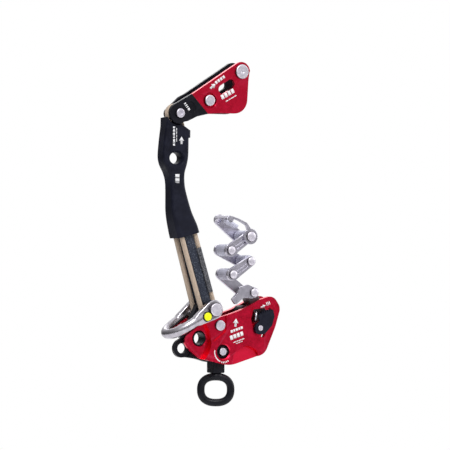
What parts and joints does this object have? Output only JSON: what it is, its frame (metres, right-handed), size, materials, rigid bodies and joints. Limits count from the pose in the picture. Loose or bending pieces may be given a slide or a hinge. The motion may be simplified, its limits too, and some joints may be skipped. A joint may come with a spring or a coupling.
{
  "type": "rope ascender",
  "caption": "Mechanical rope ascender with a chain of friction links, a swivel eye, a shackle, a stiff tether and an upper rope wrench.",
  "frame": {"origin": "on the rope's line in the lower body, midway between its two cheeks", "axes": "+Z along the rope, up; Y through the plates, with the front at -Y; X across the body"},
  "size_m": [0.1303, 0.048, 0.3435],
  "materials": {
    "red_anodised": "red anodised, satin",
    "black_anodised": "black anodised, satin",
    "bright_steel": "bright, lightly polished",
    "cast_steel": "fine cast and tumbled",
    "black_plastic": "moulded, satin",
    "tan_cord": "braided aramid-like cord",
    "black_webbing": "woven webbing",
    "yellow_plastic": "bright moulded"
  },
  "bodies": {
    "frame": {"spine_plate": "black_anodised", "rear_cheek": "red_anodised", "cheek_rivet": "bright_steel", "spine_bush": "black_anodised", "rear_bush": "black_anodised", "upper_bollard": "black_anodised", "lower_bollard": "black_anodised", "lever_axle": "bright_steel", "swivel_housing": "black_anodised", "swivel_pin": "bright_steel"},
    "gate": {"front_cheek": "red_anodised", "front_bush": "black_anodised", "latch_screw": "bright_steel"},
    "adjuster": {"adjuster_pin": "bright_steel"},
    "thumb_latch": {"latch": "black_plastic"},
    "swivel": {"swivel_eye": "black_anodised"},
    "lever": {"lever_arm": "cast_steel", "lever_leaf": "cast_steel", "link_pin_5": "bright_steel"},
    "link_4": {"link_plate_4": "cast_steel", "link_barrel_4": "cast_steel", "link_pin_4": "bright_steel"},
    "link_3": {"link_plate_3": "cast_steel", "link_barrel_3": "cast_steel", "link_pin_3": "bright_steel"},
    "link_2": {"link_plate_2": "cast_steel", "link_barrel_2": "cast_steel", "link_pin_2": "bright_steel"},
    "link_1": {"link_plate_1": "cast_steel", "link_barrel_1": "cast_steel", "link_pin_1": "bright_steel"},
    "cap": {"chain_cap": "cast_steel"},
    "shackle": {"shackle_bow": "bright_steel", "shackle_pin": "bright_steel", "button_ring": "black_anodised"},
    "button": {"shackle_button": "yellow_plastic"},
    "tether": {"tether_housing": "black_plastic", "tether_eye": "tan_cord", "front_loop": "tan_cord", "rear_loop": "tan_cord", "front_webbing": "black_webbing", "rear_webbing": "black_webbing", "tether_label": "black_webbing"},
    "wrench": {"wrench_rear_plate": "black_anodised", "wrench_front_arm": "black_anodised", "wrench_cheek": "red_anodised", "wrench_spacer": "black_plastic", "wrench_rivet": "bright_steel", "wrench_screw": "bright_steel", "wrench_post": "cast_steel", "bolt_sleeve": "cast_steel", "wrench_bolt": "bright_steel", "wrench_nut": "cast_steel"}
  },
  "joints": [
    {"name": "gate_swing", "type": "hinge", "parent": "frame", "child": "gate", "pos_m": [-0.0204, -0.01, 0.0122], "axis": [0, 1, 0], "range_deg": [0, 8]},
    {"name": "adjuster_turn", "type": "hinge", "parent": "gate", "child": "adjuster", "pos_m": [-0.0169, -0.0125, -0.014], "axis": [0, 1, 0], "range_deg": [0, 90]},
    {"name": "latch_press", "type": "hinge", "parent": "gate", "child": "thumb_latch", "pos_m": [0.0242, -0.0125, 0.0088], "axis": [0, 1, 0], "range_deg": [-25, 0], "stiffness_Nm_per_rad": 0.05},
    {"name": "swivel_turn", "type": "hinge", "parent": "frame", "child": "swivel", "pos_m": [-0.0188, 0, -0.0355], "axis": [0, 0, 1], "continuous": true},
    {"name": "lever_swing", "type": "hinge", "parent": "frame", "child": "lever", "pos_m": [0.0325, 0, 0.019], "axis": [0, 1, 0], "range_deg": [-8, 20]},
    {"name": "link_4_swing", "type": "hinge", "parent": "lever", "child": "link_4", "pos_m": [0.0182, 0, 0.0443], "axis": [0, 1, 0], "range_deg": [-12, 20]},
    {"name": "link_3_swing", "type": "hinge", "parent": "link_4", "child": "link_3", "pos_m": [-0.0062, 0, 0.0627], "axis": [0, 1, 0], "range_deg": [-12, 20]},
    {"name": "link_2_swing", "type": "hinge", "parent": "link_3", "child": "link_2", "pos_m": [0.0146, 0, 0.0757], "axis": [0, 1, 0], "range_deg": [-12, 20]},
    {"name": "link_1_swing", "type": "hinge", "parent": "link_2", "child": "link_1", "pos_m": [-0.0084, 0, 0.0868], "axis": [0, 1, 0], "range_deg": [-12, 20]},
    {"name": "cap_swing", "type": "hinge", "parent": "link_1", "child": "cap", "pos_m": [0.013, 0, 0.1005], "axis": [0, 1, 0], "range_deg": [-12, 45]},
    {"name": "shackle_swing", "type": "hinge", "parent": "frame", "child": "shackle", "pos_m": [-0.032, 0, 0.0284], "axis": [0, 1, 0], "range_deg": [0, 55]},
    {"name": "button_press", "type": "slide", "parent": "shackle", "child": "button", "axis": [0, 1, 0], "range_m": [0, 0.0015], "stiffness_N_per_m": 400},
    {"name": "tether_swing", "type": "hinge", "parent": "frame", "child": "tether", "pos_m": [-0.032, 0, 0.0284], "axis": [0, 1, 0], "range_deg": [-50, 12]},
    {"name": "wrench_swing", "type": "hinge", "parent": "tether", "child": "wrench", "pos_m": [-0.0662, 0, 0.2222], "axis": [0, 1, 0], "range_deg": [-75, 10]}
  ]
}
